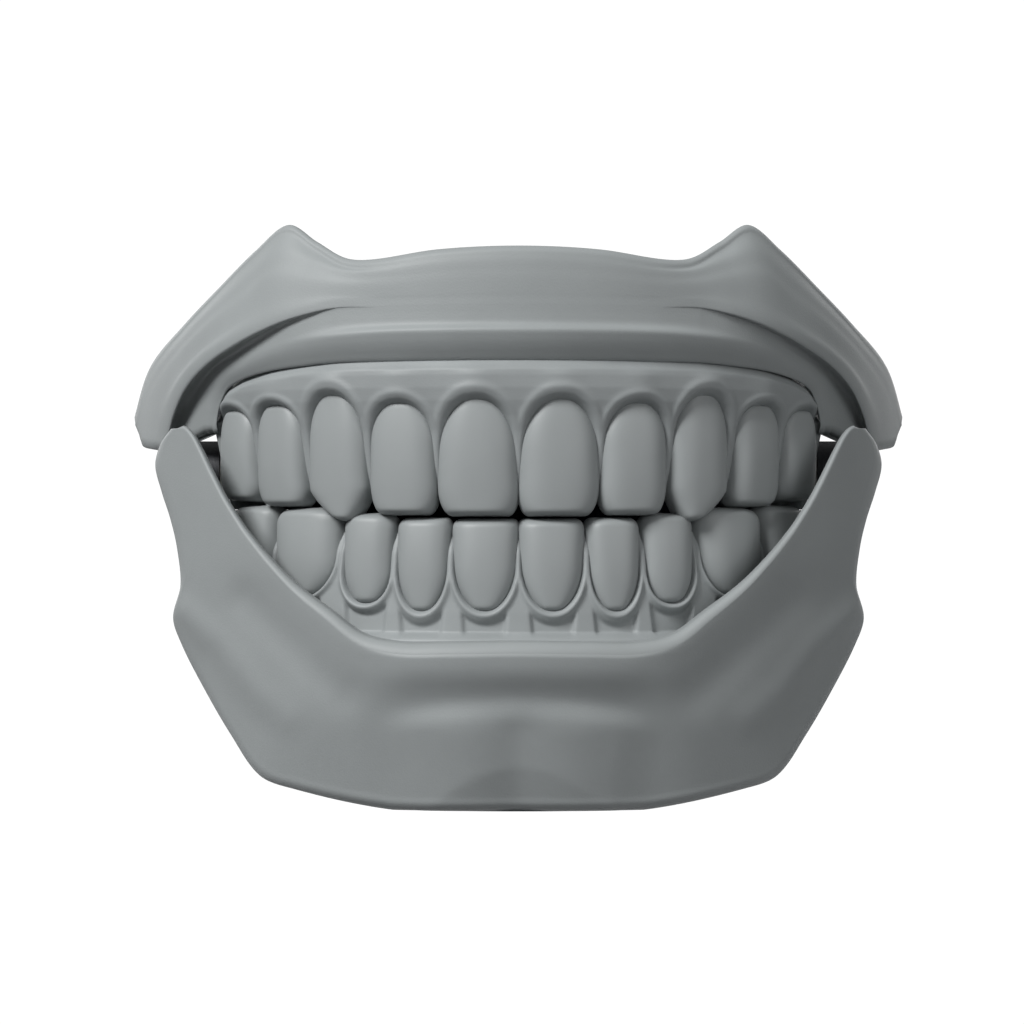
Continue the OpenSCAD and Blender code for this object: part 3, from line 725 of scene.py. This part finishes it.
class Tooth:
    """One tooth: its place on the row, its outline seen from in front, and its cross-section."""

    def __init__(self, name, phi, width, tip, root, arch, outer, inner, box, arch_box):
        self.name, self.phi, self.tip, self.root = name, phi, tip, root
        self.half = width / 2
        self.length = abs(tip - root)
        self.arch, self.arch_box, self.box = arch, arch_box, box
        self.outer, self.inner = outer, inner

    def side(self, height, corner):
        """Half width at a height above the root; corner is (in, up, roundness) of the tip's corner."""
        root_share = np.clip(1 - height / self.arch, 0, 1)
        root_factor = (1 - root_share ** self.arch_box) ** (1 / self.arch_box)
        flare = 0.94 + 0.06 * np.clip(height / self.length, 0, 1)
        in_by, up, power = corner
        near = np.clip(1 - (self.length - height) / up, 0, 1)
        cut = 1 - (1 - near ** power) ** (1 / power)
        return self.half * flare * root_factor - in_by * cut

    def frame(self, set_back):
        """The tooth's place in plan, and the direction across its face."""
        x, y = arch_point(self.phi, 0, set_back)
        turn = arch_turn(self.phi)
        return np.array([x, y]), np.array([math.cos(turn), math.sin(turn)])


# The rows, middle to back: angle along the row, width, heights of the tip and the root, height of
# the arch at the root, outer and inner corner of the tip, squareness of its section and its arch
EVEN = (2.8, 4.2, 2.0)
SOFT = (3.4, 4.8, 2.0)
UPPER_TEETH = [
    Tooth("central_incisor", 6.4, 16.8, -0.9, 23.7, 12.0, (3.2, 6.4, 1.9), (2.6, 5.8, 1.9), 2.6, 2.2),
    Tooth("lateral_incisor", 18.4, 14.7, -0.7, 22.7, 8.8, (2.8, 6.2, 1.9), (2.8, 6.0, 1.9), 2.9, 2.2),
    Tooth("canine", 29.7, 14.6, -2.0, 25.0, 10.4, (8.6, 6.6, 1.3), (4.2, 6.8, 1.2), 2.9, 2.2),
    Tooth("first_premolar", 41.0, 14.2, 1.0, 22.6, 6.6, SOFT, EVEN, 3.2, 2.2),
    Tooth("second_premolar", 51.6, 13.6, 2.1, 21.8, 5.4, SOFT, EVEN, 3.2, 2.2),
]
LOWER_TEETH = [
    Tooth("central_incisor", 5.2, 13.7, -1.3, -20.2, 10.0, (1.9, 2.6, 2.1), (1.7, 2.4, 2.1), 2.6, 2.05),
    Tooth("lateral_incisor", 15.0, 11.4, -1.1, -20.3, 9.0, (2.0, 2.8, 2.1), (1.9, 2.8, 2.1), 2.9, 2.05),
    Tooth("canine", 24.2, 11.8, -0.2, -18.7, 7.0, (3.4, 2.8, 1.9), (3.0, 2.8, 1.9), 2.7, 2.1),
    Tooth("first_premolar", 36.0, 17.6, 0.9, -17.4, 8.5, (4.4, 3.4, 1.9), (4.0, 2.8, 1.9), 2.6, 2.0),
    Tooth("second_premolar", 47.8, 13.8, 1.4, -16.2, 5.0, (2.4, 2.4, 2.1), (2.4, 2.4, 2.1), 3.0, 2.1),
]
TOOTH_RINGS = 44
TOOTH_AROUND = 48
# A tooth's middle is this far behind the row's curve, and reaches this far to the front and rear
TOOTH_MIDDLE = 6.0
TOOTH_FRONT = 5.9
TOOTH_REAR = 0.9
# Heights over which the two ends are rounded, and how far the face curves back towards them
ROOT_ROUND, TIP_ROUND = 1.8, 1.7
FACE_BOW = 0.9


def signed_power(value, power):
    return np.sign(value) * np.abs(value) ** power


def build_tooth(tooth, row, side, set_back, material, body):
    """Rings from the root to the tip, with more of them at the two ends."""
    k = np.arange(TOOTH_RINGS + 1) / TOOTH_RINGS
    height = tooth.length * (0.5 - 0.5 * np.cos(math.pi * np.clip(k, 0.012, 0.995)))
    outer = tooth.side(height, tooth.outer)
    inner = tooth.side(height, tooth.inner)
    half, shift = (outer + inner) / 2, (outer - inner) / 2
    half = np.maximum(half, 0.05)
    root_end = np.clip(1 - height / ROOT_ROUND, 0, 1)
    tip_end = np.clip(1 - (tooth.length - height) / TIP_ROUND, 0, 1)
    swell = (1 - root_end ** 2.4) ** (1 / 2.4) * (1 - tip_end ** 2.8) ** (1 / 2.8)
    bow = FACE_BOW * (2 * height / tooth.length - 0.95) ** 2
    turn = 2 * math.pi * np.arange(TOOTH_AROUND) / TOOTH_AROUND + math.pi / TOOTH_AROUND
    flat = signed_power(np.cos(turn), 2 / tooth.box)
    deep = signed_power(np.sin(turn), 2 / tooth.box)
    reach = np.where(deep < 0, TOOTH_FRONT, TOOTH_REAR)
    x = shift[:, None] + half[:, None] * flat
    y = TOOTH_MIDDLE + bow[:, None] * np.clip(-deep, 0, 1) + reach * swell[:, None] * deep
    z = tooth.root + (tooth.tip - tooth.root) * height / tooth.length
    place, tangent = tooth.frame(set_back)
    points = np.zeros((len(height), TOOTH_AROUND, 3))
    points[..., 0] = side * (place[0] + x * tangent[0] - y * tangent[1])
    points[..., 1] = place[1] + x * tangent[1] + y * tangent[0]
    points[..., 2] = z[:, None]
    hand = "left" if side > 0 else "right"
    node = f"{row}_{hand}_{tooth.name}"
    return ring_piece(f"{node}_cap", points, material, body, [node])


def tooth_clearance(teeth, phi, z, set_back):
    """Distance outside the nearest tooth's outline, and how far across from that tooth's middle."""
    px, py = arch_point(np.abs(phi), 0, set_back)
    best = np.full(np.broadcast(phi, z).shape, 1e9)
    across = np.zeros(best.shape)
    for tooth in teeth:
        place, tangent = tooth.frame(set_back)
        x = (px - place[0]) * tangent[0] + (py - place[1]) * tangent[1]
        direction = 1 if tooth.tip < tooth.root else -1
        up = direction * (z - (tooth.root - direction * tooth.arch))
        half = tooth.half * 0.97
        power = tooth.arch_box
        ratio = (np.abs(x / half) ** power + np.clip(up / tooth.arch, 0, None) ** power) ** (1 / power)
        away = (ratio - 1) * np.where(up > 0, np.minimum(half, tooth.arch), half)
        nearer = away < best
        best = np.where(nearer, away, best)
        across = np.where(nearer, x, across)
    return best, across


GUM_COLUMNS = 420
GUM_ROWS = 96
GUM_BACK_ROWS = 8
GUM_BACK = 10.8
# Angles along the row: where the gums end, and where their free edges step to the mouth's corners
GUM_END = 57.5
CORNER_TURN = (34, 40)


def gum_piece(name, node, body, set_back, low, high, depth_of, material):
    """A gum: its front is a depth at each place, between the heights low and high at each column."""
    phi = np.linspace(-GUM_END, GUM_END, GUM_COLUMNS)[:, None]
    low, high = low(np.abs(phi)), high(np.abs(phi))
    z = high + (low - high) * np.linspace(0, 1, GUM_ROWS)[None, :]
    x, y = arch_point(phi, depth_of(phi, z), set_back)
    front = np.stack([x, y, z], axis=-1)
    back_z = low + (high - low) * np.linspace(0, 1, GUM_BACK_ROWS)[None, :]
    bx, by = arch_point(phi + 0 * back_z, GUM_BACK, set_back + FRAME_BEHIND)
    back = np.stack([bx, by, back_z], axis=-1)
    return ring_piece(name, np.concatenate([front, back], axis=1), material, body, [node])


def upper_gum_depth(phi, z):
    """The webs between the teeth, the top that meets the lip, a swell over each root, a collar and a
    sunken margin round each tooth, and what its outline hides."""
    away, across = tooth_clearance(UPPER_TEETH, phi, z, 0)
    lip = np.array(UPPER_LIP)
    below_lip = np.interp(ARCH_A * np.sin(np.radians(np.abs(phi))), lip[:, 0], lip[:, 1]) - z
    web = np.interp(z, [0, 4, 8, 12, 16, 19, 22, 24.5, 27, 30.5],
                    [5.5, 4, 3, 2.3, 1.5, 0.7, -0.3, -0.8, -0.9, -0.6])
    top = np.interp(below_lip, [-4, -0.8, 0, 1.2, 3], [3, 1.6, 0.3, -0.4, -2])
    root = -0.5 * hump(across, 3.6) * smoothstep(20, 24, z) * smoothstep(0, 3, below_lip)
    collar = -0.3 * hump(away - 0.7, 0.6) * smoothstep(14, 20, z)
    margin = 0.8 * (1 - smoothstep(-0.9, 0, away))
    hidden = 3.0 * (1 - smoothstep(-2.2, -0.6, away))
    return np.maximum(web, top) + root + collar + margin + hidden


def lower_gum_depth(phi, z):
    """The same for the lower gum, which has a bead round each tooth and a sunken panel under it."""
    away, across = tooth_clearance(LOWER_TEETH, phi, z, OVERJET)
    height = np.interp(z, [-34, -28, -25.2, -23.8, -20, -14, -8, -4, 1],
                       [1, -1.8, -1.2, 1.0, 1.2, 1.8, 3.0, 4.2, 6])
    bead = -0.8 * hump(away - 0.2, 0.5) * smoothstep(-3, -9, z)
    panel = 0.9 * smoothstep(0.8, 1.6, away) * smoothstep(-24.8, -23.6, z)
    spread = np.interp(z, [-24, -10], [3.6, 5.0])
    panel = panel * (1 - smoothstep(spread, spread + 1.0, np.abs(across)))
    margin = (0.5 + 1.0 * smoothstep(-9, -14, z)) * (1 - smoothstep(-0.9, -0.1, away))
    hidden = 3.0 * (1 - smoothstep(-2.4, -0.8, away))
    return height + bead + panel + margin + hidden


def gum_band(middle, corner):
    """An edge's height at each angle: one in the middle of the mouth, another at its corners."""
    return lambda phi: middle + (corner - middle) * smoothstep(*CORNER_TURN, phi)


def build_mouth(materials):
    """Both gums and both rows of teeth."""
    gum_piece("upper_gum_skin", "upper_gum", "upper", 0, gum_band(4.6, 0.5), gum_band(33, 33),
              upper_gum_depth, materials["gum"])
    gum_piece("lower_gum_skin", "lower_gum", "jaw", OVERJET, gum_band(-32, -32), gum_band(-4.0, 0.42),
              lower_gum_depth, materials["gum"])
    for side in (1, -1):
        for tooth in UPPER_TEETH:
            build_tooth(tooth, "upper", side, 0, materials["tooth"], "upper")
        for tooth in LOWER_TEETH:
            build_tooth(tooth, "lower", side, OVERJET, materials["tooth"], "jaw")


# ---- cloth, elastics and foam ----

# The liner's depth behind the frames' curve, and the angle along it that it reaches to
LINER_DEPTH = 16.6
LINER_ANGLE = 55
LINER_COLUMNS, LINER_ROWS = 141, 61


def build_liner(material):
    """Stretch cloth behind the teeth, from the upper frame's band down to the jaw frame's."""
    low, high = (corner.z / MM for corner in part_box("mouth_liner"))
    phi = np.linspace(-LINER_ANGLE, LINER_ANGLE, LINER_COLUMNS)[:, None]
    z = np.linspace(high, low, LINER_ROWS)[None, :]
    drop = (high - z) / (high - low)
    tension = 0.22 * np.sin(phi / 2.4) * np.sin(math.pi * drop) + 0.1 * np.sin(phi / 0.9 + 3 * drop)
    x, y = arch_point(phi, LINER_DEPTH + tension, FRAME_BEHIND)
    points = np.stack([x, y, np.broadcast_to(z, x.shape)], axis=-1)
    edge_x, edge_y = arch_point(phi[:, 0], LINER_DEPTH, FRAME_BEHIND)
    along = np.concatenate([[0], np.hypot(np.diff(edge_x), np.diff(edge_y)).cumsum()])
    uv = np.stack([np.broadcast_to(along[:, None], x.shape), np.broadcast_to(z, x.shape)], axis=-1)
    start = np.arange(LINER_COLUMNS - 1)[:, None] * LINER_ROWS + np.arange(LINER_ROWS - 1)[None, :]
    faces = np.stack([start, start + 1, start + LINER_ROWS + 1, start + LINER_ROWS], axis=-1)
    liner = add_mesh("mouth_liner_cloth", points, faces.reshape(-1, 4).tolist(), material, None,
                     ["mouth_liner"], uv.reshape(-1, 2))
    across_the_gap(liner)


def across_the_gap(piece):
    """Bake into its mesh the transform of a piece that spans from the lower edge of the upper frame's
    band to the top of the jaw's.
    """
    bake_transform(piece)


ELASTIC_RINGS, ELASTIC_AROUND = 130, 36
COLLAR_LENGTH = 2.8


def build_elastic(hand, material):
    """A short braided elastic with a whipped collar at each end."""
    node = f"jaw_elastic_{hand}"
    low, high = (np.array(corner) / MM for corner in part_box(node))
    middle, radius = (low + high) / 2, (high[0] - low[0]) / 2
    z = np.linspace(low[2], high[2], ELASTIC_RINGS)[:, None]
    turn = np.linspace(0, 2 * math.pi, ELASTIC_AROUND, endpoint=False)[None, :]
    from_end = np.minimum(z - low[2], high[2] - z)
    braid = 0.05 * np.cos(6 * turn + 2.2 * z) * np.cos(6 * turn - 2.2 * z)
    whipped = 1 - smoothstep(COLLAR_LENGTH - 0.2, COLLAR_LENGTH + 0.2, from_end)
    collar = whipped * (1 + 0.05 * np.cos(9 * z))
    rounded = (from_end / 0.25).clip(0.55, 1) ** 0.5
    r = radius * (0.84 + braid * (from_end > COLLAR_LENGTH) + 0.12 * collar) * rounded
    points = np.stack([middle[0] + r * np.cos(turn), middle[1] + r * np.sin(turn),
                       np.broadcast_to(z, r.shape)], axis=-1)
    across_the_gap(ring_piece(f"{node}_cord", points, material, None, [node]))


def shell_place(a, b, angle, near, far, low, high):
    """Maps u, v, w from -1 to 1 to a pad's length, height and depth behind a shell's plan ellipse."""
    def place(u, v, w):
        phi = np.radians(angle) * u
        depth = (near + far) / 2 + (far - near) / 2 * w
        z = (low + high) / 2 + (high - low) / 2 * v
        return np.stack([(a - depth) * np.sin(phi),
                         -SHELL_FRONT + depth + (b - depth) * (1 - np.cos(phi)), z], axis=-1)
    return place


CHEEK_MIDDLE = (61.2, 47.4, 25.5)
CHEEK_LENGTH, CHEEK_THICK, CHEEK_HEIGHT = 17, 8, 14


def cheek_place(side):
    """The same for the cheek pads, which stand across the arms at 45 degrees."""
    def place(u, v, w):
        along, deep = CHEEK_LENGTH / 2 * u, CHEEK_THICK / 2 * w
        turn = math.sqrt(0.5)
        x = CHEEK_MIDDLE[0] + (along - deep) * turn
        y = CHEEK_MIDDLE[1] + (along + deep) * turn
        return np.stack([side * x, y, CHEEK_MIDDLE[2] + CHEEK_HEIGHT / 2 * v], axis=-1)
    return place


PAD_AROUND = 120
PAD_RINGS = 34
PIPING_AROUND = 12
PIPING_RADIUS = 0.5


def build_pad(node, body, place, channels, materials):
    """A crowned foam pad in a stretch cover: sewn channels across it, and a piped seam round it."""
    turn = 2 * math.pi * np.arange(PAD_AROUND) / PAD_AROUND
    edge_u = 0.95 * signed_power(np.cos(turn), 0.6)
    edge_v = 0.93 * signed_power(np.sin(turn), 0.6)
    angle = (math.pi * (np.arange(PAD_RINGS) + 0.3) / (PAD_RINGS - 0.4))[:, None]
    out = np.sin(angle) ** 0.7
    u, v = out * edge_u, out * edge_v
    deep = -0.97 * signed_power(np.cos(angle), 0.75)
    pucker = 1 + 0.05 * np.sin(30 * turn) * out ** 10
    sewn = 1 - 0.3 * sum(hump(u - at, 0.06) for at in channels)
    cover = ring_piece(f"{node}_cover", place(u, v, deep * pucker * sewn), materials["foam"], body,
                       [node])
    seam = place(edge_u, edge_v, 0 * edge_u)
    outward = unit(place(1.1 * edge_u, 1.1 * edge_v, 0 * edge_u) - seam)
    back = unit(place(edge_u, edge_v, 0 * edge_u + 0.3) - seam)
    angle = (2 * math.pi * np.arange(PIPING_AROUND) / PIPING_AROUND)[None, :, None]
    cord = np.cos(angle) * outward[:, None] + np.sin(angle) * back[:, None]
    cord = seam[:, None] + PIPING_RADIUS * cord
    ring_piece(f"{node}_piping", cord, materials["thread"], body, closed=True)


def build_pads(materials):
    pair = (-0.4, 0.4)
    build_pad("nose_pad", "upper", shell_place(UPPER_A, UPPER_B, 22, 11.6, 23, 41.5, 50), pair, materials)
    build_pad("chin_pad", "jaw",
              shell_place(JAW_A, JAW_B, 20, SHELL_T + 11.6, SHELL_T + 18.6, -51, -34), pair, materials)
    build_pad("cheek_pad_left", "upper", cheek_place(1), (0,), materials)
    build_pad("cheek_pad_right", "upper", cheek_place(-1), (0,), materials)


# ---- head strap ----

# The strap's width and thickness, the tilt and origin of its plane, its half breadth, the length of
# its straight sides, how far its curve reaches behind them, and the loop round each anchor's bar
STRAP_W, STRAP_T = 16, 1.6
STRAP_TILT = math.radians(9)
STRAP_ORIGIN = np.array([0, 65.5, 24.8])
STRAP_X = 77.2
STRAIGHT = 50
HEAD_B = 95
BAR_LOOP = (2.3, 2.5)
TAIL_T = 1.2
STITCH_RADIUS = 0.28
STITCH_ROWS = (4.6, 6.6, 8.6)


def strap_place(points):
    """Points in the strap's own tilted frame, taken to the model's frame."""
    x, y, z = points[..., 0], points[..., 1], points[..., 2]
    cos, sin = math.cos(STRAP_TILT), math.sin(STRAP_TILT)
    return STRAP_ORIGIN + np.stack([x, y * cos - z * sin, y * sin + z * cos], axis=-1)


def webbing(name, path, width, thickness, material, replaces=(), closed=False):
    """A ribbed woven strap along a path in the strap's plane."""
    path = np.asarray(path, float)
    ahead = np.roll(path, -1, axis=0) - np.roll(path, 1, axis=0)
    if not closed:
        ahead[0], ahead[-1] = path[1] - path[0], path[-1] - path[-2]
    ahead = unit(ahead)
    normal = np.stack([ahead[:, 1], -ahead[:, 0]], axis=-1)
    across = np.linspace(-1, 1, 61)
    rib = 0.9 + 0.1 * np.cos(7 * math.pi * across)
    half = thickness / 2 * np.sqrt(1 - np.abs(across) ** 12) * rib
    v = np.concatenate([across, across[-2:0:-1]])
    offset = np.concatenate([half, -half[-2:0:-1]])
    plan = path[:, None] + normal[:, None] * offset[None, :, None]
    z = np.broadcast_to(v * width / 2, plan.shape[:2])
    rings = strap_place(np.concatenate([plan, z[..., None]], axis=-1))
    steps = np.linalg.norm(np.diff(path, axis=0), axis=-1)
    along = np.concatenate([[0], steps.cumsum()])
    uv = np.stack([np.broadcast_to(along[:, None], z.shape), z], axis=-1).reshape(-1, 2)
    return ring_piece(name, rings, material, "upper", replaces, closed, uv)


def stitches(name, places, material):
    """Small raised stitches, each from one place to another on a face of the strap."""
    points, faces = [], []
    for start, end, out in places:
        start, end, out = (np.array(v, float) for v in (start, end, out))
        side = unit(np.cross(end - start, out))
        base = len(points)
        for share, swell in ((0, 0.3), (0.2, 0.85), (0.5, 1), (0.8, 0.85), (1, 0.3)):
            for turn in np.arange(6) * math.pi / 3:
                ring = math.cos(turn) * side + math.sin(turn) * out
                points.append(start + (end - start) * share + STITCH_RADIUS * swell * ring)
        faces += [[base + i for i in face] for face in ring_faces(5, 6)]
    return add_mesh(name, strap_place(np.array(points)), faces, material, "upper")


def build_strap(materials):
    """The band from one anchor round the head to the other, then each end's loop, tail and stitches."""
    turn = np.linspace(0, math.pi, 241)
    behind = STRAIGHT + (HEAD_B - STRAP_T / 2) * np.sin(turn)
    curve = np.stack([STRAP_X * np.cos(turn), behind], axis=-1)
    run = np.linspace(2.6, STRAIGHT, 60, endpoint=False)
    left = np.stack([np.full(len(run), STRAP_X), run], axis=-1)
    right = (left * [-1, 1])[::-1]
    webbing("head_strap_band", np.concatenate([left, curve, right]), STRAP_W, STRAP_T,
            materials["webbing"], ["head_strap"])
    loop_turn = np.linspace(0, 2 * math.pi, 72, endpoint=False)
    loop = np.stack([BAR_LOOP[0] * signed_power(np.cos(loop_turn), 0.62),
                     BAR_LOOP[1] * signed_power(np.sin(loop_turn), 0.62)], axis=-1)
    for hand, side in (("left", 1), ("right", -1)):
        webbing(f"head_strap_loop_{hand}", loop + [side * STRAP_X, 0], STRAP_W, STRAP_T,
                materials["webbing"], closed=True)
        tail_x = side * (STRAP_X - STRAP_T / 2 - 0.62)
        tail = np.stack([np.full(12, tail_x), np.linspace(2.9, 10.4, 12)], axis=-1)
        webbing(f"head_strap_tail_{hand}", tail, STRAP_W - 0.6, TAIL_T, materials["webbing"])
        rows = []
        for y in STITCH_ROWS:
            for z in np.arange(-6.8, 6.9, 1.7):
                for x, out in ((side * (STRAP_X + 0.72), side), (tail_x - side * 0.52, -side)):
                    rows.append(((x, y - 0.35, z - 0.6), (x, y + 0.35, z + 0.6), (out, 0, 0)))
        stitches(f"head_strap_stitches_{hand}", rows, materials["thread"])


# ---- hardware ----

HARDWARE = {
    "nylon": ["upper_frame", "jaw_frame"],
    "steel": ["hinge_bracket_left", "hinge_bracket_right", "bracket_rivets", "hinge_pin_left",
              "hinge_pin_right", "strap_anchor_left", "strap_anchor_right", "anchor_rivets"],
    "washer": ["hinge_washer_left", "hinge_washer_right"],
    "plastic": ["strap_adjuster"],
}


def finish_hardware(materials):
    """The frame's own solids keep their shapes and get their surface finishes."""
    for finish, names in HARDWARE.items():
        for name in names:
            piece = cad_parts[name]
            for slot in piece.material_slots:
                slot.material = materials[finish]


# ---- putting it together ----

bpy.context.scene.view_settings.view_transform = "Standard"
make_camera()
make_world()
make_floor()
for light_name, settings in LIGHTS.items():
    area_light(light_name, *settings)
materials = make_materials()
build_upper_shell(materials["shell"])
build_jaw_shell(materials["shell"])
build_mouth(materials)
build_liner(materials["liner"])
build_elastic("left", materials["rubber"])
build_elastic("right", materials["rubber"])
build_pads(materials)
build_strap(materials)
finish_hardware(materials)
